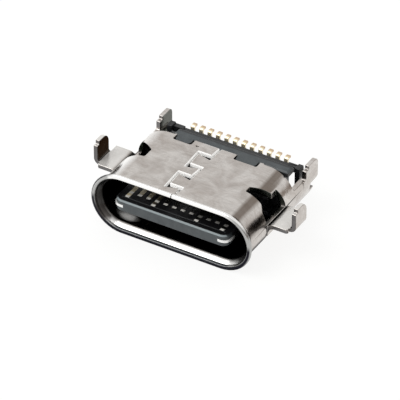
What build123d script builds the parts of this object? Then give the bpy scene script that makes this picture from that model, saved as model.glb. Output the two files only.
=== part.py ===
from build123d import *
import os

# A reversible 24-contact receptacle for a board with a cut-out, lying with its board side up.
# While it is built, y = 0 is the mouth and z = 0 is the middle of the tongue. +Y runs back into
# the receptacle, +Z points to the board side, and the last step moves the part onto its base.

# Shell: one folded steel sheet round the mating cavity
CAVITY_WIDTH = 8.34
CAVITY_HEIGHT = 2.56
SHEET = 0.25
LIP_FLARE = 0.23
LIP_LAND = 0.16
LIP_RUN = 0.46
LIP_ROUND = 0.11
LIP_SWEEP_RADIUS = 0.25
ROOF_BEHIND_TONGUE = 0.51
ROOF_HALF_WIDTH = 2.60
SHOULDER_SETBACK = 0.06
FLOOR_BEHIND_ROOF = 1.94
WALL_TOP = 0.48
WALL_FILLET = 0.15
WALL_NOTCH_LENGTH = 0.40
WALL_NOTCH_BOTTOM = -0.40

# Dovetail seam in the roof
SEAM_GAP = 0.09
SEAM_MOUTH_GAP = 0.03
SEAM_RIGHT = 0.03
SEAM_LEFT = -0.75
SEAM_LEAN = 0.03
SEAM_FIRST = 1.15
SEAM_RIGHT_TOOTH = 1.10
SEAM_LEFT_TOOTH = 0.87
SEAM_CROWNS = 4
CROWN_GAP_TIP = 0.14
CROWN_GAP_ROOT = 0.36
SEAM_RELIEF = 0.10

# Coined dot on the roof
DOT_X = -1.09
DOT_SETBACK = 0.39
DOT_RADIUS = 0.07
DOT_DEPTH = 0.04

# Notches in the rear edge of the roof: centre and width of each
NOTCH_DEPTH = 0.46
LEFT_NOTCH_X = -1.96
LEFT_NOTCH_WIDTH = 1.07
RIGHT_NOTCH_X = 1.70
RIGHT_NOTCH_WIDTH = 1.35
NOTCH_ROUND = 0.10

# Front legs: each is cut from a side window, bent out flat and then up at its front part
WINDOW_SETBACK = 0.87
WINDOW_LENGTH = 1.97
WINDOW_TIP_X = 2.94
WINDOW_TIP_START = 0.41
WINDOW_TIP_LENGTH = 0.37
WINDOW_SHOULDER_X = 3.90
WINDOW_SHOULDER_STEP = 0.23
WINDOW_NECK_START = 0.32
WINDOW_NECK_LENGTH = 0.98
WINDOW_LEFT_EXTRA = 0.28
WINDOW_LEFT_NECK_EXTRA = 0.52
WINDOW_ROUND = 0.08
TAB_GAP = 0.04
TAB_TOP = 0.30
TAB_BEND = 0.40
TAB_OUTER_X = 5.55
TAB_CORNER = 0.08
EAR_OUTER_X = 5.90
EAR_BEND = 0.12
EAR_START = 0.28
EAR_LENGTH = 1.10
EAR_TOP = 1.42
EAR_ROUND = 0.50
EAR_NICK = 0.20
EAR_NICK_HEIGHT = 1.20

# Rear legs: flat posts that rise from the side walls
POST_OVERLAP = 0.85
POST_OVERHANG = 0.37
POST_FOOT = 0.02
POST_SHOULDER = 0.98
POST_STEP_LENGTH = 0.27
POST_TOP = 1.18
POST_ROUND = 0.28
POST_ROOT = 0.12

# Tongue
TONGUE_MARGIN = 0.48
TONGUE_THICKNESS = 0.70
TONGUE_LENGTH = 4.45
TONGUE_BAR = 0.36
TONGUE_RAIL = 0.30
TONGUE_CORNER = 0.45
TONGUE_EDGE = 0.08
PLATE_THICKNESS = 0.15
PLATE_PROUD = 0.05
PLATE_CORNER = 0.40
PLATE_HORN = 0.60
PLATE_SETBACK = 0.20
LATCH_FRONT = 1.45
LATCH_REAR = 2.45
LATCH_DEPTH = 0.22
PLATE_TAIL_GAP = 1.04
PLATE_WING_START = 0.10
PLATE_WING_LENGTH = 0.25

# Root of the tongue with its two ground pads
ROOT_LENGTH = 0.75
ROOT_WIDTH = 7.10
ROOT_HEIGHT = 0.55
PAD_THICKNESS = 0.10
PAD_WIDTH = 6.30
PAD_LIP = 0.15

# Contacts: twelve in each row
CONTACT_COUNT = 12
CONTACT_PITCH = 0.50
CONTACT_WIDTH = 0.23
CONTACT_THICKNESS = 0.12
LONG_CONTACT_LABELS = ("01", "04", "09", "12")
LONG_TIP = 0.42
SHORT_TIP = 0.80
CONTACT_BEND = 0.12
FOOT_LEVEL = 0.70
TOE_DROP = 0.04
RISER_BEHIND_ROOF = 0.88
UPPER_TOE_RUN = 0.38
ROW_GAP = 0.72
LOWER_TOE_RUN = 0.29
UPPER_CARRIER_GAP = 0.18
LOWER_CARRIER_GAP = 0.34

# Rear housing
HOUSING_FIT = 0.02
COLLAR_LENGTH = 0.48
STRIP_LEFT = -2.75
STRIP_RIGHT = 3.95
STRIP_LENGTH = 0.62
STRIP_TOP = 1.46
STRIP_CHAMFER = 0.10
STRIP_END_THICKNESS = 0.34
LUG_GAP = 0.08
LUG_SHIFT = -0.05
LUG_ROUND = 0.20
CORE_WIDTH = 6.10
CORE_SETBACK = 0.18
ARM_LENGTH = 0.28
ARM_TOP = 0.72
ARM_THICKNESS = 0.36
PEG_INNER_X = 3.62
PEG_WIDTH = 0.28
PEG_START = 0.19
PEG_LENGTH = 0.46
PEG_TOP = 0.82
PEG_BOTTOM = -0.42

# Sizes worked out from those above
END_CENTRE = (CAVITY_WIDTH - CAVITY_HEIGHT) / 2
INNER_RADIUS = CAVITY_HEIGHT / 2
OUTER_RADIUS = INNER_RADIUS + SHEET
SIDE_X = END_CENTRE + OUTER_RADIUS
BASE_HEIGHT = OUTER_RADIUS + LIP_FLARE
ROOF_LENGTH = TONGUE_LENGTH + ROOF_BEHIND_TONGUE
SHOULDER_LENGTH = ROOF_LENGTH - SHOULDER_SETBACK
FLOOR_LENGTH = ROOF_LENGTH + FLOOR_BEHIND_ROOF
WINDOW_REAR = SHOULDER_LENGTH - WINDOW_SETBACK
WINDOW_FRONT = WINDOW_REAR - WINDOW_LENGTH
EAR_FRONT = WINDOW_FRONT + EAR_START
EAR_REAR = EAR_FRONT + EAR_LENGTH
POST_FRONT = FLOOR_LENGTH - POST_OVERLAP
POST_REAR = FLOOR_LENGTH + POST_OVERHANG
UPPER_RISER = ROOF_LENGTH + RISER_BEHIND_ROOF
UPPER_TOE = UPPER_RISER + UPPER_TOE_RUN
LOWER_RISER = UPPER_TOE + ROW_GAP
LOWER_TOE = LOWER_RISER + LOWER_TOE_RUN
CORE_REAR = FLOOR_LENGTH - CORE_SETBACK
TONGUE_WIDTH = (CONTACT_COUNT - 1) * CONTACT_PITCH + CONTACT_WIDTH + 2 * TONGUE_MARGIN
TONGUE_HALF = TONGUE_THICKNESS / 2
PLATE_HALF = PLATE_THICKNESS / 2
CONTACT_LEVEL = TONGUE_HALF - CONTACT_THICKNESS / 2
CARRIER_HALF_WIDTH = TONGUE_WIDTH / 2 - PLATE_PROUD - TONGUE_RAIL
CORE_TOP = FOOT_LEVEL - CONTACT_THICKNESS / 2
DEPTH = max(POST_REAR, LOWER_TOE)
SEAT = Location((0, -DEPTH / 2, BASE_HEIGHT))


def box(x_range, y_range, z_range):
    """A block between the given low and high coordinates."""
    size = [high - low for low, high in (x_range, y_range, z_range)]
    middle = [(high + low) / 2 for low, high in (x_range, y_range, z_range)]
    return Location(middle) * Box(*size)


def polygon(*points):
    return make_face(Polyline(*points, close=True))


def along_x(face, low, high):
    """Extrude a face drawn in (y, z) from x = low to x = high."""
    return extrude(Plane.YZ.offset(low) * face, high - low)


def along_y(face, low, high):
    """Extrude a face drawn in (x, z) from y = low to y = high."""
    return extrude(Plane.XZ.offset(-low) * face, low - high)


def along_z(face, low, high):
    """Extrude a face drawn in (x, y) from z = low to z = high."""
    return extrude(Plane.XY.offset(low) * face, high - low)


def corners_at(face, *places, reach=0.01):
    """The vertices of a flat sketch that lie at the given places."""
    targets = [Vector(*place) for place in places]
    return [v for v in face.vertices() if any((v.center() - t).length < reach for t in targets)]


def both_sides(solid):
    return [solid, mirror(solid, about=Plane.YZ)]


def wall_profile():
    """Half section of the sheet, as (y, distance from the middle of its round end)."""
    lip_outer = OUTER_RADIUS + LIP_FLARE
    lip_inner = INNER_RADIUS + LIP_FLARE
    face = polygon(
        (0, lip_inner),
        (0, lip_outer),
        (LIP_LAND, lip_outer),
        (LIP_RUN, OUTER_RADIUS),
        (FLOOR_LENGTH, OUTER_RADIUS),
        (FLOOR_LENGTH, INNER_RADIUS),
        (LIP_RUN, INNER_RADIUS),
        (LIP_LAND, lip_inner),
    )
    edge = corners_at(face, (0, lip_inner), (0, lip_outer))
    face = fillet(edge, LIP_ROUND)
    sweep_ends = corners_at(face, (LIP_RUN, OUTER_RADIUS), (LIP_RUN, INNER_RADIUS))
    face = fillet(sweep_ends, LIP_SWEEP_RADIUS)
    land_ends = corners_at(face, (LIP_LAND, lip_outer), (LIP_LAND, lip_inner))
    return fillet(land_ends, LIP_ROUND)


def shell_tube():
    """The sheet closed round the cavity: two flats and two round ends with a flared mouth."""
    section = Plane.YZ * wall_profile()
    flat = extrude(Plane.YZ.offset(-END_CENTRE) * wall_profile(), 2 * END_CENTRE)
    end = Location((END_CENTRE, 0, 0)) * revolve(section, Axis.Y, 180)
    return flat + mirror(flat, about=Plane.XY) + both_sides(end)


def seam_edge(side):
    """Edge of one end of the sheet along the seam, from the mouth back: 1 is the right end, -1 the left."""
    points = [(SEAM_RIGHT + SEAM_LEAN + side * SEAM_MOUTH_GAP / 2, -SEAM_GAP)]
    y = SEAM_FIRST
    for crown in range(SEAM_CROWNS):
        to_left = crown % 2 == 0
        x_places = (SEAM_RIGHT + SEAM_LEAN, SEAM_LEFT + SEAM_LEAN)
        if not to_left:
            x_places = (SEAM_LEFT - SEAM_LEAN, SEAM_RIGHT - SEAM_LEAN)
        gaps = (0, 0) if to_left == (side == 1) else (CROWN_GAP_TIP, CROWN_GAP_ROOT)
        points += [(x + side * SEAM_GAP / 2, y - gap) for x, gap in zip(x_places, gaps)]
        y += SEAM_RIGHT_TOOTH if to_left else SEAM_LEFT_TOOTH
    return [*points, (SEAM_RIGHT + SEAM_LEAN + side * SEAM_GAP / 2, ROOF_LENGTH + SEAM_GAP)]


def seam():
    """Gap of the seam, tight along the teeth and open at their roots, with a hole at its first turn."""
    gap = polygon(*seam_edge(1), *reversed(seam_edge(-1)))
    relief = Location((SEAM_RIGHT, SEAM_FIRST - CROWN_GAP_TIP)) * Circle(SEAM_RELIEF)
    return [along_z(face, 0, BASE_HEIGHT + SHEET) for face in (gap, relief)]


def roof_dot():
    place = Location((DOT_X, ROOF_LENGTH - DOT_SETBACK, OUTER_RADIUS - DOT_DEPTH / 2))
    return place * Cone(DOT_RADIUS / 2, DOT_RADIUS, DOT_DEPTH)


def notch_outlines(clearance, rounding):
    """Top views of the two notches in the rear edge of the roof, less a clearance."""
    outlines = []
    for centre, width in ((LEFT_NOTCH_X, LEFT_NOTCH_WIDTH), (RIGHT_NOTCH_X, RIGHT_NOTCH_WIDTH)):
        size = (width - 2 * clearance, 2 * (NOTCH_DEPTH - clearance))
        outlines.append(Location((centre, ROOF_LENGTH)) * RectangleRounded(*size, rounding))
    return outlines


def roof_notches():
    outlines = notch_outlines(0, NOTCH_ROUND)
    return [along_z(outline, INNER_RADIUS / 2, BASE_HEIGHT + SHEET) for outline in outlines]


def side_window(extra, neck_extra):
    """Opening left in the shoulder by the metal of a front leg, longer by the extra lengths."""
    rear = WINDOW_REAR + extra
    tip = WINDOW_FRONT + WINDOW_TIP_START
    neck = WINDOW_FRONT + WINDOW_NECK_START
    outline = polygon(
        (WINDOW_TIP_X, tip),
        (WINDOW_SHOULDER_X, neck),
        (WINDOW_SHOULDER_X + SHEET, WINDOW_FRONT),
        (SIDE_X + SHEET, WINDOW_FRONT),
        (SIDE_X + SHEET, rear),
        (WINDOW_SHOULDER_X, rear - WINDOW_SHOULDER_STEP),
        (WINDOW_SHOULDER_X, neck + WINDOW_NECK_LENGTH + neck_extra),
        (WINDOW_TIP_X, tip + WINDOW_TIP_LENGTH + extra),
    )
    return along_z(fillet(outline.vertices(), WINDOW_ROUND), TAB_TOP - SHEET / 2, BASE_HEIGHT + SHEET)


def front_leg():
    """The metal of a side window: out level with the tongue, then up beside the shell."""
    level = TAB_TOP - SHEET / 2
    wall_x = SIDE_X - SHEET / 2
    ear_x = EAR_OUTER_X - SHEET / 2
    tab_bend = TAB_BEND + SHEET / 2
    ear_bend = EAR_BEND + SHEET / 2
    middle = (ear_x - 2 * ear_bend, level)
    inner = FilletPolyline((wall_x, level - tab_bend - SHEET / 2), (wall_x, level), middle, radius=tab_bend)
    outer = FilletPolyline(middle, (ear_x, level), (ear_x, EAR_TOP), radius=ear_bend)
    section = trace(inner, SHEET) + trace(outer, SHEET)
    tab = along_y(section, WINDOW_FRONT + TAB_GAP, WINDOW_REAR - TAB_GAP) & tab_outline()
    return tab + (along_y(section, EAR_FRONT, EAR_REAR) & ear_outline())


def tab_outline():
    """Top view of the flat part of a front leg, as a block as high as the part."""
    front = WINDOW_FRONT + TAB_GAP
    face = polygon(
        (0, front),
        (TAB_OUTER_X - TAB_CORNER, front),
        (TAB_OUTER_X, front + TAB_CORNER),
        (TAB_OUTER_X, WINDOW_REAR),
        (0, WINDOW_REAR),
    )
    return along_z(face, -OUTER_RADIUS, EAR_TOP)


def ear_outline():
    """Side view of the upright part of a front leg, as a block as wide as the part."""
    face = polygon(
        (EAR_FRONT, -OUTER_RADIUS),
        (EAR_REAR, -OUTER_RADIUS),
        (EAR_REAR, EAR_TOP),
        (EAR_FRONT + EAR_NICK, EAR_TOP),
        (EAR_FRONT + EAR_NICK, EAR_NICK_HEIGHT),
        (EAR_FRONT, EAR_NICK_HEIGHT),
    )
    face = fillet(corners_at(face, (EAR_REAR, EAR_TOP)), EAR_ROUND)
    return along_x(face, 0, EAR_OUTER_X + SHEET)


def rear_post():
    """Flat leg that stands on a side wall, with a fillet where it leaves the wall's top edge."""
    step = POST_FRONT + POST_STEP_LENGTH
    face = polygon(
        (POST_FRONT - 2 * POST_ROOT, POST_FOOT),
        (POST_FRONT - 2 * POST_ROOT, WALL_TOP),
        (POST_FRONT, WALL_TOP),
        (POST_FRONT, POST_SHOULDER),
        (step, POST_SHOULDER),
        (step, POST_TOP),
        (POST_REAR, POST_TOP),
        (POST_REAR, POST_FOOT),
    )
    face = fillet(corners_at(face, (POST_FRONT, WALL_TOP)), POST_ROOT)
    face = fillet(corners_at(face, (POST_REAR, POST_TOP)), POST_ROUND)
    face = fillet(corners_at(face, (POST_REAR, POST_FOOT)), POST_ROUND / 2)
    return along_x(face, SIDE_X - SHEET, SIDE_X)


def open_rear():
    """Space behind the roof, and over each side wall from the rear edge of its shoulder."""
    rear = FLOOR_LENGTH + SHEET
    face = polygon(
        (SHOULDER_LENGTH, BASE_HEIGHT),
        (SHOULDER_LENGTH, WALL_TOP),
        (rear, WALL_TOP),
        (rear, BASE_HEIGHT),
    )
    face = fillet(corners_at(face, (SHOULDER_LENGTH, WALL_TOP)), WALL_FILLET)
    over_wall = along_x(face, ROOF_HALF_WIDTH, SIDE_X + SHEET)
    over_roof = box((-ROOF_HALF_WIDTH, ROOF_HALF_WIDTH), (ROOF_LENGTH, rear), (0, BASE_HEIGHT))
    return [*both_sides(over_wall), over_roof]


def wall_notches():
    """Cuts in the rear edges of the side walls, under the rear legs."""
    y_range = (FLOOR_LENGTH - WALL_NOTCH_LENGTH, FLOOR_LENGTH + SHEET)
    return both_sides(box((END_CENTRE, SIDE_X + SHEET), y_range, (WALL_NOTCH_BOTTOM, POST_FOOT)))


def shell():
    left_window = mirror(side_window(WINDOW_LEFT_EXTRA, WINDOW_LEFT_NECK_EXTRA), about=Plane.YZ)
    body = shell_tube() - open_rear() - wall_notches() - roof_notches()
    body = body - side_window(0, 0) - left_window
    body = body + both_sides(front_leg()) + both_sides(rear_post())
    return body - seam() - roof_dot()


def contact_x(number):
    return (number - (CONTACT_COUNT + 1) / 2) * CONTACT_PITCH


def contact(number, level, riser, toe):
    """A stamped strip: along the tongue, up to the board level and back to its toe."""
    tip = LONG_TIP if f"{number:02d}" in LONG_CONTACT_LABELS else SHORT_TIP
    path = FilletPolyline(
        (tip, level),
        (riser, level),
        (riser, FOOT_LEVEL),
        (toe, FOOT_LEVEL - TOE_DROP),
        radius=CONTACT_BEND,
    )
    centre = contact_x(number)
    return along_x(trace(path, CONTACT_THICKNESS), centre - CONTACT_WIDTH / 2, centre + CONTACT_WIDTH / 2)


def upper_contact(number):
    return contact(number, CONTACT_LEVEL, UPPER_RISER, UPPER_TOE)


def lower_contact(number):
    return contact(number, -CONTACT_LEVEL, LOWER_RISER, LOWER_TOE)


def mid_plate():
    half = TONGUE_WIDTH / 2
    outline = Rectangle(2 * half, TONGUE_LENGTH, align=(Align.CENTER, Align.MIN))
    outline = fillet(corners_at(outline, (-half, 0), (half, 0)), PLATE_CORNER)
    plate = along_z(outline, -PLATE_HALF, PLATE_HALF)
    setback = box((PLATE_HORN - half, half - PLATE_HORN), (0, PLATE_SETBACK), (-PLATE_HALF, PLATE_HALF))
    tail_range = (TONGUE_LENGTH, LOWER_RISER - PLATE_TAIL_GAP)
    tail = box((-CARRIER_HALF_WIDTH, CARRIER_HALF_WIDTH), tail_range, (-PLATE_HALF, PLATE_HALF))
    reach = SIDE_X - SHEET - HOUSING_FIT
    wing_front = TONGUE_LENGTH + PLATE_WING_START
    wings = box((-reach, reach), (wing_front, wing_front + PLATE_WING_LENGTH), (-PLATE_HALF, PLATE_HALF))
    return plate + tail + wings - setback - latch_notches()


def latch_notches():
    """Side recesses that the plug's latches snap into, through plate and rails."""
    edge = TONGUE_WIDTH / 2
    notch = box((edge - LATCH_DEPTH, edge + SHEET), (LATCH_FRONT, LATCH_REAR), (-TONGUE_HALF, TONGUE_HALF))
    return both_sides(notch)


def carrier(rear, sign):
    """Insert-moulded wafer that holds one row of contacts against the plate."""
    low, high = sorted((sign * PLATE_HALF, sign * TONGUE_HALF))
    return box((-CARRIER_HALF_WIDTH, CARRIER_HALF_WIDTH), (TONGUE_BAR, rear), (low, high))


def tongue_block():
    half = TONGUE_WIDTH / 2 - PLATE_PROUD
    face = Rectangle(2 * half, TONGUE_LENGTH, align=(Align.CENTER, Align.MIN))
    face = fillet(corners_at(face, (-half, 0), (half, 0)), TONGUE_CORNER)
    block = along_z(face, -TONGUE_HALF, TONGUE_HALF)
    rims = block.faces().filter_by(Axis.Z).edges()
    front_rims = [e for e in rims if e.center().Y < TONGUE_CORNER]
    return chamfer(front_rims, TONGUE_EDGE)


def root_step(sign):
    low, high = sorted((sign * TONGUE_HALF, sign * ROOT_HEIGHT))
    return box((-ROOT_WIDTH / 2, ROOT_WIDTH / 2), (TONGUE_LENGTH - ROOT_LENGTH, TONGUE_LENGTH), (low, high))


def ground_pad(sign):
    """Thin plate on the root of the tongue, with its front edge folded down."""
    front = TONGUE_LENGTH - ROOT_LENGTH
    top = sign * (ROOT_HEIGHT + PAD_THICKNESS)
    low, high = sorted((sign * ROOT_HEIGHT, top))
    plate = box((-PAD_WIDTH / 2, PAD_WIDTH / 2), (front, TONGUE_LENGTH), (low, high))
    low, high = sorted((sign * (ROOT_HEIGHT - PAD_LIP), top))
    lip = box((-PAD_WIDTH / 2, PAD_WIDTH / 2), (front - PAD_THICKNESS, front), (low, high))
    return plate + lip


def housing_collar():
    """Plug that closes the back of the shell, with the strip and lugs that lock its roof."""
    width = CAVITY_WIDTH - 2 * HOUSING_FIT
    height = CAVITY_HEIGHT - 2 * HOUSING_FIT
    rear = TONGUE_LENGTH + COLLAR_LENGTH
    plug = along_y(SlotOverall(width, height), TONGUE_LENGTH, rear)
    strip_front = ROOF_LENGTH + HOUSING_FIT
    strip = box((STRIP_LEFT, STRIP_RIGHT), (strip_front, strip_front + STRIP_LENGTH), (0, STRIP_TOP))
    top_edges = strip.faces().sort_by(Axis.Z)[-1].edges()
    strip = chamfer(top_edges, STRIP_CHAMFER)
    end_bottom = STRIP_TOP - STRIP_END_THICKNESS
    under_end = box((CORE_WIDTH / 2, STRIP_RIGHT), (strip_front, CORE_REAR), (0, end_bottom))
    outlines = [Location((LUG_SHIFT, 0)) * outline for outline in notch_outlines(LUG_GAP, LUG_ROUND)]
    return plug + (strip - under_end) + [along_z(outline, 0, STRIP_TOP) for outline in outlines]


def housing_arms():
    """Level arms at the rear corners, each with an upright peg beside a rear leg."""
    arm_range = (CORE_REAR - ARM_LENGTH, CORE_REAR)
    peg_front = POST_FRONT + PEG_START
    peg_outer = PEG_INNER_X + PEG_WIDTH
    arm = box((CORE_WIDTH / 2, peg_outer), arm_range, (ARM_TOP - ARM_THICKNESS, ARM_TOP))
    peg = box((PEG_INNER_X, peg_outer), (peg_front, peg_front + PEG_LENGTH), (PEG_BOTTOM, PEG_TOP))
    return both_sides(arm + peg)


def rear_housing(held):
    bottom = -INNER_RADIUS + HOUSING_FIT
    core = box((-CORE_WIDTH / 2, CORE_WIDTH / 2), (TONGUE_LENGTH, CORE_REAR), (bottom, CORE_TOP))
    arms = housing_arms()
    joined = housing_collar() + core + arms + root_step(1) + root_step(-1)
    return joined - held


def build_parts():
    numbers = range(1, CONTACT_COUNT + 1)
    upper = {f"upper_contact_{n:02d}": upper_contact(n) for n in numbers}
    lower = {f"lower_contact_{n:02d}": lower_contact(n) for n in numbers}
    plate = mid_plate()
    upper_carrier = carrier(UPPER_RISER - UPPER_CARRIER_GAP, 1)
    lower_carrier = carrier(LOWER_RISER - LOWER_CARRIER_GAP, -1)
    rails = tongue_block() - plate - upper_carrier - lower_carrier - latch_notches()
    held = [plate, upper_carrier, lower_carrier, *upper.values(), *lower.values()]
    parts = {
        "shell": shell(),
        "rear_housing": rear_housing(held),
        "tongue": rails,
        "mid_plate": plate,
        "upper_contact_carrier": upper_carrier - list(upper.values()),
        "lower_contact_carrier": lower_carrier - list(lower.values()),
        "upper_ground_pad": ground_pad(1),
        "lower_ground_pad": ground_pad(-1),
    }
    return {**parts, **upper, **lower}


os.makedirs("parts", exist_ok=True)
for name, solid in build_parts().items():
    export_step(SEAT * solid, f"parts/{name}.step")
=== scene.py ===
import math

import bmesh
import bpy
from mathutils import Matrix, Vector
from mathutils.bvhtree import BVHTree


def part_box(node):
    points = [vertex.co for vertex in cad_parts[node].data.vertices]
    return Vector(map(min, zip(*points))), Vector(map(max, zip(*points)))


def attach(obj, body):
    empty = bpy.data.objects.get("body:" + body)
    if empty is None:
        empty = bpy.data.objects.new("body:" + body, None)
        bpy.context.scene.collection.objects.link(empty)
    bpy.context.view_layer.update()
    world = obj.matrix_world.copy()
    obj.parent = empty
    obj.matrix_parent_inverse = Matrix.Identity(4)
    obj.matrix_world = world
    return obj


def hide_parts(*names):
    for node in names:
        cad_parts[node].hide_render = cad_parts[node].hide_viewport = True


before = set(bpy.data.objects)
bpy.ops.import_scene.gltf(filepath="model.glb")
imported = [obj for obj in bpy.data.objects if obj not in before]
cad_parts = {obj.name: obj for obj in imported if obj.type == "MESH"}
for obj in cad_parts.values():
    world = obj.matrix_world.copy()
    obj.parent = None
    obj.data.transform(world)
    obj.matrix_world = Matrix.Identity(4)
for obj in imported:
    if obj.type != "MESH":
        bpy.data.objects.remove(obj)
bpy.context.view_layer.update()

MM = 0.001

# How far each kind of stamped, moulded or plated edge is rounded, in millimetres
SHELL_EDGE = 0.035
SEAM_EDGE = 0.06
PLASTIC_EDGE = 0.025
PLATE_EDGE = 0.015
CONTACT_EDGE = 0.02

# How edges are picked and rounded: angles in degrees, distances in millimetres
SHARP_ANGLE = 32
FLAT_ANGLE = 0.5
MERGE_DISTANCE = 0.0001
EDGE_SEGMENTS = 3
EDGE_PROFILE = 0.5
ROUNDING_TRIES = 4

# A triangle further off the surface than this share of the rounding is a fold, and edges that end
# within this many roundings of one stay sharp
FOLD_SHARE = 0.5
SPARED_REACH = 2.0

# The shell's section and the tails, in millimetres
shell_low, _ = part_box("shell")
MOUTH_Y = shell_low.y / MM
MIDDLE_HEIGHT = 1.76
INNER_RADIUS = 1.28
END_CENTRE = 2.89
REAR_OF_ROOF = MOUTH_Y + 4.98
POSTS_Y = REAR_OF_ROOF + 0.5
TAIL_LEVEL = MIDDLE_HEIGHT + 0.70
TOE_Y = MOUTH_Y + 7.06
TAB_FRONT = MOUTH_Y + 2.2
TAB_SIDE = 4.7
EAR_INSIDE = -5.4
POST_INSIDE = -4.0
WINDOW_SIDES = (2.6, 4.6)
WINDOW_LENGTH = (MOUTH_Y + 1.8, MOUTH_Y + 4.7)
SEAM_REACH = 1.3
SEAM_LEVEL = 3.2
SEAM_FRONT = MOUTH_Y + 0.5

# The lip, in millimetres: where its level land, which is painted in shade, and the lip itself end and the
# wall behind it begins, and where its left end turns, each with the width of that step
LAND_REAR, LAND_STEP = MOUTH_Y + 0.155, 0.03
LIP_REAR, LIP_STEP = MOUTH_Y + 0.36, 0.04
WALL_FRONT, WALL_STEP = MOUTH_Y + 0.42, 0.08
LEFT_TURN, TURN_STEP = -3.6, 0.14

# The patch of light on the cavity's floor: its middle and its half lengths, in millimetres
GLOW_MIDDLE = (-2.95, MOUTH_Y + 0.86)
GLOW_REACH = (0.62, 0.26)
GLOW_STRENGTH = 0.5

# Where the painted highlights on the tips of the long and the short contacts begin and end, in millimetres
LONG_TIP = (MOUTH_Y + 0.38, MOUTH_Y + 0.56)
SHORT_TIP = (MOUTH_Y + 0.76, MOUTH_Y + 0.94)
TIP_STEP = 0.02

# Camera: the photograph's angle, far away, so that it is nearly orthographic
AZIMUTH = 30.49
ELEVATION = 36.54
DISTANCE = 200
PIXELS_PER_MM = 19.784
IMAGE_PIXELS = 400
SENSOR = 36
AIM = (0, -0.135, 1.6)
AIM_PIXEL = (205.2, 190.0)
FAR_CLIP = 10

# Paper, studio and softbox
PAPER_SIZE = 4000
PAPER_GLOW = 1.04
PAPER_WHITE_SHARE = 0.8
STUDIO_STRENGTH = 0.92
SOFTBOX_TOWARDS = (-0.40, -0.45, 0.80)
SOFTBOX_DISTANCE = 150
SOFTBOX_SIZE = (110, 90)
SOFTBOX_STRENGTH = 2.4


def material(name):
    """A new node material with its Principled shader and node tree."""
    made = bpy.data.materials.new(name)
    made.use_nodes = True
    return made, made.node_tree, made.node_tree.nodes["Principled BSDF"]


def add_node(tree, kind, settings=(), inputs=()):
    """A node of that kind; settings are its properties, and inputs its socket values or links."""
    node = tree.nodes.new(kind)
    for key, value in dict(settings).items():
        setattr(node, key, value)
    for key, value in dict(inputs).items():
        if isinstance(value, bpy.types.NodeSocket):
            tree.links.new(value, node.inputs[key])
        else:
            node.inputs[key].default_value = value
    return node


def place_mm(tree):
    """The surface point in millimetres, in the frame of the part."""
    coords = add_node(tree, "ShaderNodeTexCoord")
    scaled = add_node(tree, "ShaderNodeVectorMath", {"operation": "SCALE"}, {0: coords.outputs["Object"]})
    scaled.inputs["Scale"].default_value = 1 / MM
    return scaled.outputs["Vector"]


def noise(tree, place, scale, detail=3.0, roughness=0.5, distortion=0.0, stretch=None):
    """Noise with that many cells per millimetre, drawn out by stretch where that is given."""
    if stretch:
        place = add_node(tree, "ShaderNodeMapping", (), {"Vector": place, "Scale": stretch}).outputs["Vector"]
    inputs = {
        "Vector": place,
        "Scale": scale,
        "Detail": detail,
        "Roughness": roughness,
        "Distortion": distortion,
    }
    return add_node(tree, "ShaderNodeTexNoise", (), inputs).outputs["Fac"]


def ramp(tree, factor, *stops):
    """A colour ramp with (position, colour) stops; a single number stands for a grey."""
    node = add_node(tree, "ShaderNodeValToRGB", (), {"Fac": factor})
    elements = node.color_ramp.elements
    while len(elements) < len(stops):
        elements.new(0.5)
    for element, (position, colour) in zip(elements, stops):
        element.position = position
        grey = isinstance(colour, (int, float))
        element.color = (colour, colour, colour, 1) if grey else (*colour, 1)
    return node.outputs["Color"]


def remap(tree, value, low, high, to_low, to_high):
    inputs = {"Value": value, "From Min": low, "From Max": high, "To Min": to_low, "To Max": to_high}
    return add_node(tree, "ShaderNodeMapRange", {"clamp": True}, inputs).outputs["Result"]


def mix(tree, factor, first, second, blend="MIX"):
    settings = {"data_type": "RGBA", "blend_type": blend}
    node = add_node(tree, "ShaderNodeMix", settings, {"Factor": factor})
    for socket, value in ((node.inputs[6], first), (node.inputs[7], second)):
        if isinstance(value, bpy.types.NodeSocket):
            tree.links.new(value, socket)
        else:
            socket.default_value = (*value, 1)
    return node.outputs[2]


def maths(tree, operation, *values):
    inputs = dict(enumerate(values))
    return add_node(tree, "ShaderNodeMath", {"operation": operation}, inputs).outputs["Value"]


def bump(tree, shader, height, distance, strength):
    inputs = {"Height": height, "Distance": distance * MM, "Strength": strength}
    node = add_node(tree, "ShaderNodeBump", (), inputs)
    tree.links.new(node.outputs["Normal"], shader.inputs["Normal"])


def split(tree, vector):
    parts = add_node(tree, "ShaderNodeSeparateXYZ", (), {"Vector": vector})
    return [parts.outputs[axis] for axis in "XYZ"]


def size_of(tree, value):
    return maths(tree, "ABSOLUTE", value)


def rest_of(tree, value):
    return maths(tree, "SUBTRACT", 1.0, value)


def larger(tree, *values):
    total = values[0]
    for value in values[1:]:
        total = maths(tree, "MAXIMUM", total, value)
    return total


def surface(tree):
    """The place in millimetres and the direction of the surface, each as x, y and z."""
    coords = add_node(tree, "ShaderNodeTexCoord")
    return split(tree, place_mm(tree)), split(tree, coords.outputs["Normal"])


def product(tree, *values):
    total = values[0]
    for value in values[1:]:
        total = maths(tree, "MULTIPLY", total, value)
    return total


def above(tree, value, edge, width):
    """0 below the edge and 1 above it, with a soft step of that width."""
    return remap(tree, value, edge - width / 2, edge + width / 2, 0, 1)


def below(tree, value, edge, width):
    return remap(tree, value, edge - width / 2, edge + width / 2, 1, 0)


def band(tree, value, low, high, width):
    """1 between low and high, with soft steps of that width."""
    return product(tree, above(tree, value, low, width), below(tree, value, high, width))


def on_lip(tree, y):
    return below(tree, y, LIP_REAR, LIP_STEP)


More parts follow.
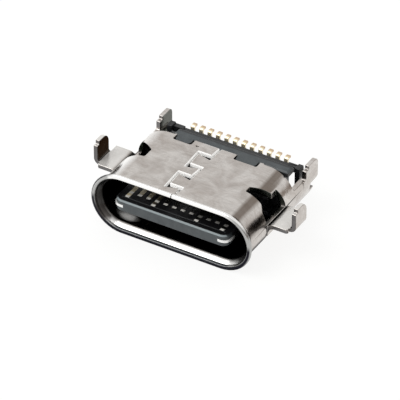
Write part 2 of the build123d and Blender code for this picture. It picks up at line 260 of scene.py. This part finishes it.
def inside_mask(tree, place, facing):
    """1 on surfaces of the shell that face its cavity, behind the outermost part of the flare."""
    x, y, z = place
    out_x, _, out_z = facing
    beyond = larger(tree, maths(tree, "SUBTRACT", size_of(tree, x), END_CENTRE), 0.0)
    sideways = product(tree, beyond, maths(tree, "SIGN", x), out_x)
    upright = product(tree, maths(tree, "SUBTRACT", z, MIDDLE_HEIGHT), out_z)
    outward = maths(tree, "ADD", sideways, upright)
    posts = product(tree, above(tree, z, MIDDLE_HEIGHT + 0.5, 0.1), above(tree, y, POSTS_Y, 0.1))
    within = above(tree, y, MOUTH_Y + 0.32, 0.22)
    return product(tree, below(tree, outward, -0.35, 0.3), within, rest_of(tree, posts))


def crown_mask(tree, place, facing):
    """1 on the cut ends of the seam's teeth and on their rounded edges."""
    x, y, z = place
    upright = below(tree, size_of(tree, facing[2]), 0.93, 0.06)
    near_middle = below(tree, size_of(tree, x), 0.95, 0.1)
    in_roof = above(tree, z, MIDDLE_HEIGHT + INNER_RADIUS, 0.05)
    return product(tree, upright, near_middle, in_roof, above(tree, y, MOUTH_Y + 0.55, 0.1))


def glow_mask(tree, place):
    """1 on the patch of the cavity's floor that light reaches beside the tongue."""
    across, along = (
        maths(tree, "DIVIDE", maths(tree, "SUBTRACT", at, middle), half)
        for at, middle, half in zip(place, GLOW_MIDDLE, GLOW_REACH)
    )
    reach = maths(tree, "ADD", product(tree, across, across), product(tree, along, along))
    return product(tree, below(tree, reach, 0.7, 1.4), below(tree, place[2], MIDDLE_HEIGHT - 0.9, 0.2))


def shell_dark(tree, place, facing):
    """Masks and colours of the shell's painted shade and painted dark reflections, in the order they are laid
    on.
    """
    x, y, z = place
    out_x, out_y, out_z = facing
    side = size_of(tree, x)
    lip = on_lip(tree, y)
    behind_lip = above(tree, y, WALL_FRONT, WALL_STEP)
    low_run = below(tree, z, MIDDLE_HEIGHT + 0.1, 0.3)
    high_up = above(tree, z, MIDDLE_HEIGHT + 0.25, 0.2)
    outer_left = product(tree, lip, below(tree, x, -2.5, 0.3), below(tree, out_x, -0.35, 0.2))
    low_turn = band(tree, z, MIDDLE_HEIGHT - 1.3, MIDDLE_HEIGHT - 0.40, 0.35)
    past_turn = below(tree, x, LEFT_TURN, TURN_STEP)
    lower_left = product(tree, lip, past_turn, above(tree, out_x, -0.1, 0.3), low_turn, 0.9)
    near_turn = below(tree, x, LEFT_TURN + 0.3, 0.3)
    in_front = below(tree, y, MOUTH_Y + 0.6, LIP_STEP)
    inner_left = product(tree, in_front, near_turn, above(tree, out_x, 0.66, 0.3))
    straight = below(tree, size_of(tree, out_x), 0.5, 0.4)
    at_mouth = below(tree, y, MOUTH_Y + 0.06, 0.06)
    sill = product(tree, low_run, straight, at_mouth, below(tree, out_z, 0.75, 0.2))
    forward = below(tree, out_y, -0.45, 0.3)
    front_edge = product(tree, forward, below(tree, out_z, 0.12, 0.25), behind_lip, 0.8)
    under_top = product(tree, lip, below(tree, low_run, 0.5, 1.0), below(tree, out_z, -0.3, 0.2))
    shoulder = product(tree, behind_lip, high_up, band(tree, out_x, 0.29, 0.56, 0.12), 0.82)
    before_tab = below(tree, y, TAB_FRONT, 0.4)
    wall_root = product(tree, behind_lip, band(tree, out_x, 0.84, 0.96, 0.05), before_tab, 0.85)
    window_edge = product(
        tree,
        below(tree, out_y, -0.3, 0.2),
        high_up,
        band(tree, side, *WINDOW_SIDES, 0.1),
        band(tree, y, *WINDOW_LENGTH, 0.1),
    )
    to_right = above(tree, out_x, 0.6, 0.3)
    ear_inside = product(tree, below(tree, x, EAR_INSIDE, 0.1), to_right)
    post_inside = product(tree, below(tree, x, POST_INSIDE, 0.1), above(tree, y, POSTS_Y, 0.1), to_right)
    # All of these are painted: dark reflections on the outside of the lip's left end, on its sill and in the
    # shoulder's brown band, and shade on the inside of that end, under the lip, at the wall's root, on the
    # forward-facing cut edges, round the windows, inside the cavity and on the inner faces of the ears and
    # posts.
    return [
        (lower_left, (0.06, 0.048, 0.042)),
        (inner_left, (0.05, 0.046, 0.043)),
        (outer_left, (0.045, 0.047, 0.05)),
        (sill, (0.018, 0.018, 0.024)),
        (front_edge, (0.05, 0.052, 0.06)),
        (under_top, (0.02, 0.02, 0.02)),
        (shoulder, (0.15, 0.115, 0.09)),
        (wall_root, (0.05, 0.038, 0.03)),
        (window_edge, (0.035, 0.04, 0.035)),
        (inside_mask(tree, place, facing), (0.022, 0.021, 0.02)),
        (ear_inside, (0.10, 0.082, 0.07)),
        (post_inside, (0.27, 0.275, 0.26)),
    ]


def land_shade_mask(tree, place, facing):
    """1 on the level land of the lower lip, which is painted in slate-grey shade."""
    x, y, z = place
    low_run = below(tree, z, MIDDLE_HEIGHT - 0.3, 0.3)
    straight = below(tree, size_of(tree, x), END_CENTRE + 0.6, 0.5)
    land = below(tree, y, LAND_REAR, LAND_STEP)
    return product(tree, low_run, straight, land, above(tree, facing[2], 0.72, 0.2))


def shell_bright(tree, place, facing):
    """Masks and colours of the shell's painted light: highlights on the lip, the left shoulder and the flat
    tabs, and painted shade on the lip's round ends.
    """
    x, y, _ = place
    out_x, _, out_z = facing
    lip = on_lip(tree, y)
    right_turn = above(tree, x, END_CENTRE + 0.5, 0.7)
    round_end = product(tree, lip, larger(tree, below(tree, x, LEFT_TURN, TURN_STEP), right_turn))
    to_left = below(tree, out_x, -0.30, 0.3)
    fading = remap(tree, y, TAB_FRONT, TAB_FRONT + 0.6, 0.95, 0.35)
    left_shoulder = product(tree, to_left, above(tree, out_z, 0.3, 0.2), fading)
    tab_top = product(tree, above(tree, size_of(tree, x), TAB_SIDE, 0.1), above(tree, out_z, 0.8, 0.2), 0.6)
    return [
        (left_shoulder, (0.98, 0.97, 0.95)),
        (lip, (0.97, 0.96, 0.94)),
        (product(tree, round_end, below(tree, out_z, 0.62, 0.2)), (0.42, 0.42, 0.41)),
        (tab_top, (0.86, 0.85, 0.82)),
    ]


def matt_mask(tree, place, facing):
    """1 where the shell is made less metallic, so that the painted light and shade there show: the flat tabs
    and the left end of the lip.
    """
    x, y, _ = place
    outside = above(tree, size_of(tree, x), TAB_SIDE - 0.1, 0.2)
    tab_top = product(tree, outside, above(tree, facing[2], 0.8, 0.2), 0.6)
    left_end = product(tree, below(tree, x, LEFT_TURN, TURN_STEP), on_lip(tree, y), 0.8)
    return larger(tree, tab_top, left_end)


def shell_steel():
    """Satin nickel on steel: faint mottling and fine scratches, with painted shade, painted dark reflections
    and painted highlights laid over them.
    """
    made, tree, shader = material("shell_steel")
    place = place_mm(tree)
    spot, facing = surface(tree)
    clouds = noise(tree, place, 0.9, detail=5, roughness=0.62, distortion=0.8)
    grain = noise(tree, place, 14, detail=2, roughness=0.6)
    drawn_out = (0.35, 2.4, 1.0)
    scratches = noise(tree, place, 5, detail=2, roughness=0.6, distortion=0.4, stretch=drawn_out)
    tint = ramp(
        tree,
        clouds,
        (0.34, (0.50, 0.455, 0.42)),
        (0.50, (0.60, 0.56, 0.525)),
        (0.64, (0.70, 0.665, 0.63)),
    )
    fine = ramp(tree, scratches, (0.35, 0.80), (0.6, 1.0))
    tint = mix(tree, 0.6, tint, fine, "MULTIPLY")
    sheen = 1.0
    # Painted highlights, and painted shade on the lip's round ends
    for mask, colour in shell_bright(tree, spot, facing):
        tint = mix(tree, mask, tint, colour)
    # Painted shade and painted dark reflections, with the specular tint turned down under them
    for mask, colour in shell_dark(tree, spot, facing):
        tint = mix(tree, mask, tint, colour)
        sheen = product(tree, sheen, rest_of(tree, mask))
    # Painted highlight on the seam's teeth, and the painted pool of light on the cavity's floor
    pale = larger(tree, crown_mask(tree, spot, facing), product(tree, glow_mask(tree, spot), GLOW_STRENGTH))
    tint = mix(tree, pale, tint, (1.0, 0.99, 0.97))
    # Painted shade on the level land of the lower lip, which is also made non-metallic
    land_shade = land_shade_mask(tree, spot, facing)
    tint = mix(tree, land_shade, tint, (0.05, 0.058, 0.062))
    tree.links.new(tint, shader.inputs["Base Color"])
    matt = larger(tree, pale, land_shade, matt_mask(tree, spot, facing))
    tree.links.new(rest_of(tree, matt), shader.inputs["Metallic"])
    edge = add_node(tree, "ShaderNodeCombineXYZ", (), {"X": sheen, "Y": sheen, "Z": sheen})
    tree.links.new(edge.outputs["Vector"], shader.inputs["Specular Tint"])
    broad = remap(tree, clouds, 0.3, 0.7, 0.15, 0.22)
    rough = maths(tree, "ADD", broad, remap(tree, grain, 0.3, 0.7, 0, 0.06))
    tree.links.new(rough, shader.inputs["Roughness"])
    height = maths(tree, "ADD", clouds, product(tree, scratches, 0.12))
    bump(tree, shader, height, 0.02, 0.6)
    return made


def plate_steel():
    """Bright stainless steel at the tongue's front corners, with painted shade further in."""
    made, tree, shader = material("plate_steel")
    place = place_mm(tree)
    grain = noise(tree, place, 9, roughness=0.6, stretch=(0.4, 2.0, 1.0))
    spot, _ = surface(tree)
    tint = ramp(tree, grain, (0.3, (0.82, 0.82, 0.80)), (0.7, (0.95, 0.95, 0.93)))
    # Painted shade further into the cavity
    tint = mix(tree, above(tree, spot[1], MOUTH_Y + 0.6, 0.3), tint, (0.02, 0.02, 0.02))
    tree.links.new(tint, shader.inputs["Base Color"])
    shader.inputs["Metallic"].default_value = 0.4
    tree.links.new(remap(tree, grain, 0.3, 0.7, 0.16, 0.30), shader.inputs["Roughness"])
    bump(tree, shader, grain, 0.004, 0.5)
    return made


def housing_plastic():
    """Glass-filled moulding with a cool grey sheen, with painted shade on the faces inside the cavity and at
    the rear, and a painted highlight on the tongue's front rim.
    """
    made, tree, shader = material("housing_plastic")
    place = place_mm(tree)
    spot, facing = surface(tree)
    clouds = noise(tree, place, 2.2, detail=4, roughness=0.6)
    grain = noise(tree, place, 24, detail=2, roughness=0.7)
    tint = ramp(tree, clouds, (0.3, (0.036, 0.044, 0.048)), (0.7, (0.062, 0.072, 0.076)))
    _, y, z = spot
    out_z = facing[2]
    # Painted shade on level faces low down, on faces inside the shell and on side faces at the rear
    level = above(tree, size_of(tree, out_z), 0.7, 0.3)
    in_shell = product(tree, above(tree, y, MOUTH_Y + 0.5, 0.2), below(tree, y, REAR_OF_ROOF - 0.04, 0.04))
    deep = product(tree, larger(tree, level, in_shell), below(tree, z, MIDDLE_HEIGHT + 1.1, 0.1))
    side = below(tree, size_of(tree, out_z), 0.4, 0.3)
    rear_side = product(tree, side, above(tree, y, REAR_OF_ROOF - 0.5, 0.05), 0.85)
    tint = mix(tree, larger(tree, deep, rear_side), tint, (0.008, 0.008, 0.009))
    # Painted shade on the level faces of the rear strip
    strip_rear = product(tree, above(tree, y, REAR_OF_ROOF + 0.38, 0.10), level, 0.9)
    tint = mix(tree, strip_rear, tint, (0.012, 0.013, 0.014))
    # Painted highlight on the tongue's front chamfers
    front_rim = product(tree, below(tree, y, MOUTH_Y + 0.2, 0.05), band(tree, out_z, 0.35, 0.88, 0.1))
    tint = mix(tree, front_rim, tint, (0.24, 0.28, 0.29))
    tree.links.new(tint, shader.inputs["Base Color"])
    tree.links.new(remap(tree, grain, 0.3, 0.7, 0.30, 0.44), shader.inputs["Roughness"])
    bump(tree, shader, grain, 0.006, 0.6)
    return made


def contact_gold():
    """Thin gold over nickel: pale on the heel and browner at the toe, with painted shade at the root of the
    tail and inside the shell, and painted highlights on the tips.
    """
    made, tree, shader = material("contact_gold")
    place = place_mm(tree)
    (x, y, z), _ = surface(tree)
    clouds = noise(tree, place, 3.0, roughness=0.6)
    tint = ramp(tree, clouds, (0.3, (0.86, 0.70, 0.44)), (0.7, (1.0, 0.92, 0.70)))
    # Painted shade at the root of each tail
    in_tail = above(tree, y, REAR_OF_ROOF, 0.1)
    root = product(tree, in_tail, below(tree, z, TAIL_LEVEL - 0.24, 0.12))
    toe = above(tree, y, TOE_Y, 0.08)
    tint = mix(tree, product(tree, toe, 0.8), tint, (0.55, 0.37, 0.23))
    tint = mix(tree, root, tint, (0.02, 0.018, 0.016))
    # Painted shade on the contacts inside the shell, lighter towards the left
    in_shell = below(tree, y, REAR_OF_ROOF, 0.1)
    unlit = product(tree, in_shell, remap(tree, x, -2.6, -1.1, 0.1, 1.0))
    tint = mix(tree, unlit, tint, (0.006, 0.006, 0.005))
    # Painted highlights on the contacts' tips, fainter towards the right on the short ones
    long_tip = band(tree, y, *LONG_TIP, TIP_STEP)
    short_tip = band(tree, y, *SHORT_TIP, TIP_STEP)
    faint = remap(tree, x, 0.6, 1.0, 1.0, 0.35)
    tips = larger(tree, long_tip, product(tree, short_tip, faint))
    tint = mix(tree, tips, tint, (0.95, 0.93, 0.86))
    tree.links.new(tint, shader.inputs["Base Color"])
    pale = larger(tree, tips, product(tree, in_shell, 0.9))
    tree.links.new(maths(tree, "SUBTRACT", 0.75, product(tree, pale, 0.75)), shader.inputs["Metallic"])
    tree.links.new(remap(tree, clouds, 0.3, 0.7, 0.22, 0.34), shader.inputs["Roughness"])
    bump(tree, shader, noise(tree, place, 16, detail=2), 0.003, 0.5)
    return made


def clean_copy(node):
    """A copy of a CAD node's mesh with its seams welded and the triangles of its flat faces joined."""
    work = bmesh.new()
    work.from_mesh(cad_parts[node].data)
    bmesh.ops.remove_doubles(work, verts=work.verts, dist=MERGE_DISTANCE * MM)
    bmesh.ops.dissolve_limit(
        work,
        angle_limit=math.radians(FLAT_ANGLE),
        verts=work.verts,
        edges=work.edges,
        use_dissolve_boundaries=False,
    )
    return work


def sharp_edges(work):
    limit = math.radians(SHARP_ANGLE)
    return [e for e in work.edges if len(e.link_faces) == 2 and e.calc_face_angle(0) > limit]


def in_seam(edge):
    """Whether an edge lies along the seam, on the upper face of the roof."""
    middle = (edge.verts[0].co + edge.verts[1].co) / 2 / MM
    level = abs(edge.verts[0].co.z - edge.verts[1].co.z) < MERGE_DISTANCE * MM
    return level and abs(middle.x) < SEAM_REACH and middle.z > SEAM_LEVEL and middle.y > SEAM_FRONT


def round_edges(work, edges, width):
    """Round those edges, and give the faces made for it."""
    made = bmesh.ops.bevel(
        work,
        geom=edges,
        offset=width * MM,
        offset_type="OFFSET",
        segments=EDGE_SEGMENTS,
        profile=EDGE_PROFILE,
        affect="EDGES",
        clamp_overlap=False,
    )
    return made["faces"]


def smooth_normals(work, rounded):
    """Normals in the order of the mesh's corners, in which rounded edges leave the large faces true."""
    limit = math.radians(SHARP_ANGLE)
    soft = set(rounded)

    def blended(face, vert, fan):
        near = [f for f in fan if f.normal.angle(face.normal, 0) < limit]
        total = Vector()
        for other in near:
            corner = next(c for c in other.loops if c.vert is vert)
            total += other.normal * corner.calc_angle()
        return total.normalized() if total.length else face.normal.copy()

    normals = []
    for face in work.faces:
        for corner in face.loops:
            fan = corner.vert.link_faces
            plain = [f for f in fan if f not in soft]
            if face in soft and plain:
                nearest = min(plain, key=lambda f: f.normal.angle(face.normal, 0))
                normals.append(blended(nearest, corner.vert, plain))
            else:
                normals.append(blended(face, corner.vert, fan if face in soft else plain))
    return normals


def unspared_edges(work, spared, width):
    """The sharp edges, without those that end near a spared point."""
    reach = SPARED_REACH * width * MM

    def near_fold(edge):
        return any((vert.co - point).length < reach for vert in edge.verts for point in spared)

    return [edge for edge in sharp_edges(work) if not near_fold(edge)]


def fold_points(work, own, width):
    """The corners of triangles that rounding has pulled off the node's own surface."""
    check = work.copy()
    bmesh.ops.triangulate(check, faces=check.faces)
    limit = FOLD_SHARE * width * MM
    folds = [f for f in check.faces if own.find_nearest(f.calc_center_median())[3] > limit]
    points = [v.co.copy() for f in folds for v in f.verts]
    check.free()
    return points


def rounded_copy(node, edge):
    """The node's mesh with its sharp edges rounded, apart from those whose rounding would fold over."""
    original = clean_copy(node)
    own = BVHTree.FromBMesh(original)
    original.free()
    width = SEAM_EDGE if node == "shell" else edge
    spared = []
    for _ in range(ROUNDING_TRIES):
        work = clean_copy(node)
        faces = []
        if node == "shell":
            seam = [e for e in unspared_edges(work, spared, width) if in_seam(e)]
            faces = round_edges(work, seam, SEAM_EDGE)
        faces += round_edges(work, unspared_edges(work, spared, width), edge)
        faces = [f for f in faces if f.is_valid]
        found = fold_points(work, own, width)
        if not found:
            break
        spared += found
    return work, faces


def finished(node, look, edge):
    """The node's own form with its sharp edges rounded, in its material, in place of that node."""
    work, rounded = rounded_copy(node, edge)
    work.normal_update()
    normals = smooth_normals(work, rounded)
    mesh = bpy.data.meshes.new(node + "_finished")
    work.to_mesh(mesh)
    work.free()
    mesh.shade_smooth()
    mesh.normals_split_custom_set(normals)
    piece = bpy.data.objects.new(node + "_finished", mesh)
    bpy.context.scene.collection.objects.link(piece)
    mesh.materials.append(look)
    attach(piece, "root")
    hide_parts(node)


def dress_nodes():
    steel, plate, plastic, gold = shell_steel(), plate_steel(), housing_plastic(), contact_gold()
    finished("shell", steel, SHELL_EDGE)
    for node in ("rear_housing", "tongue", "upper_contact_carrier", "lower_contact_carrier"):
        finished(node, plastic, PLASTIC_EDGE)
    for node in ("mid_plate", "upper_ground_pad", "lower_ground_pad"):
        finished(node, plate, PLATE_EDGE)
    for node in sorted(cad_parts):
        if "_contact_" in node and not node.endswith("carrier"):
            finished(node, gold, CONTACT_EDGE)


def add_plane(name, centre, size, facing, look):
    """A flat card of that size in millimetres, facing a direction."""
    bpy.ops.mesh.primitive_plane_add(size=1)
    card = bpy.context.object
    card.name = name
    card.scale = (size[0] * MM, size[1] * MM, 1)
    card.location = Vector(centre) * MM
    card.rotation_mode = "QUATERNION"
    card.rotation_quaternion = Vector(facing).to_track_quat("Z", "Y")
    card.data.materials.append(look)


def add_floor():
    """Pale paper that camera and mirror rays see near white, with a faint shadow left on it."""
    made, tree, shader = material("floor_paper")
    shader.inputs["Base Color"].default_value = (0.93, 0.93, 0.925, 1)
    shader.inputs["Roughness"].default_value = 0.9
    glow = {"Color": (1.0, 1.0, 0.995, 1), "Strength": PAPER_GLOW}
    white = add_node(tree, "ShaderNodeEmission", (), glow)
    path = add_node(tree, "ShaderNodeLightPath")
    rays = ("Is Camera Ray", "Is Glossy Ray", "Is Transmission Ray")
    seen = larger(tree, *(path.outputs[ray] for ray in rays))
    share = product(tree, seen, PAPER_WHITE_SHARE)
    blend = add_node(tree, "ShaderNodeMixShader", (), {0: share, 1: shader.outputs[0], 2: white.outputs[0]})
    tree.links.new(blend.outputs[0], tree.nodes["Material Output"].inputs["Surface"])
    add_plane("floor", (0, 0, 0), (PAPER_SIZE, PAPER_SIZE), (0, 0, 1), made)


def add_softbox(name, towards, distance, size, strength):
    """An area light of that radiance, in the direction towards from the part and facing it."""
    data = bpy.data.lights.new(name, "AREA")
    data.shape = "RECTANGLE"
    data.size, data.size_y = size[0] * MM, size[1] * MM
    data.energy = strength * math.pi * data.size * data.size_y
    light = bpy.data.objects.new(name, data)
    direction = Vector(towards).normalized()
    light.location = direction * distance * MM
    light.rotation_mode = "QUATERNION"
    light.rotation_quaternion = direction.to_track_quat("Z", "Y")
    bpy.context.scene.collection.objects.link(light)


def add_world():
    """A pale studio, with a darker warm wall low at one side."""
    world = bpy.data.worlds.new("studio")
    world.use_nodes = True
    bpy.context.scene.world = world
    tree = world.node_tree
    coords = add_node(tree, "ShaderNodeTexCoord")
    parts = add_node(tree, "ShaderNodeSeparateXYZ", (), {"Vector": coords.outputs["Generated"]})
    sky = ramp(tree, parts.outputs["Z"], (0.0, 1.0), (0.30, 0.97), (0.6, 0.93), (0.9, 0.85))
    low = below(tree, parts.outputs["Z"], 0.22, 0.2)
    wall = product(tree, low, above(tree, parts.outputs["X"], 0.35, 0.4))
    sky = mix(tree, wall, sky, (0.26, 0.20, 0.16))
    background = tree.nodes["Background"]
    tree.links.new(sky, background.inputs["Color"])
    background.inputs["Strength"].default_value = STUDIO_STRENGTH


def add_camera():
    azimuth, elevation = (math.radians(a) for a in (AZIMUTH, ELEVATION))
    level = math.cos(elevation)
    back = Vector((math.sin(azimuth) * level, -math.cos(azimuth) * level, math.sin(elevation)))
    right = Vector((math.cos(azimuth), math.sin(azimuth), 0))
    up = back.cross(right)
    across, down = ((pixel - IMAGE_PIXELS / 2) / PIXELS_PER_MM for pixel in AIM_PIXEL)
    aim = Vector(AIM) - right * across + up * down
    data = bpy.data.cameras.new("camera")
    data.sensor_width = SENSOR
    data.lens = PIXELS_PER_MM * DISTANCE / IMAGE_PIXELS * SENSOR
    data.clip_start = MM
    data.clip_end = FAR_CLIP
    camera = bpy.data.objects.new("camera", data)
    camera.location = (aim + back * DISTANCE) * MM
    camera.rotation_mode = "QUATERNION"
    camera.rotation_quaternion = back.to_track_quat("Z", "Y")
    bpy.context.scene.collection.objects.link(camera)
    bpy.context.scene.camera = camera


dress_nodes()
add_floor()
add_world()
add_softbox("front_top_softbox", SOFTBOX_TOWARDS, SOFTBOX_DISTANCE, SOFTBOX_SIZE, SOFTBOX_STRENGTH)
add_camera()
bpy.context.scene.view_settings.view_transform = "Standard"
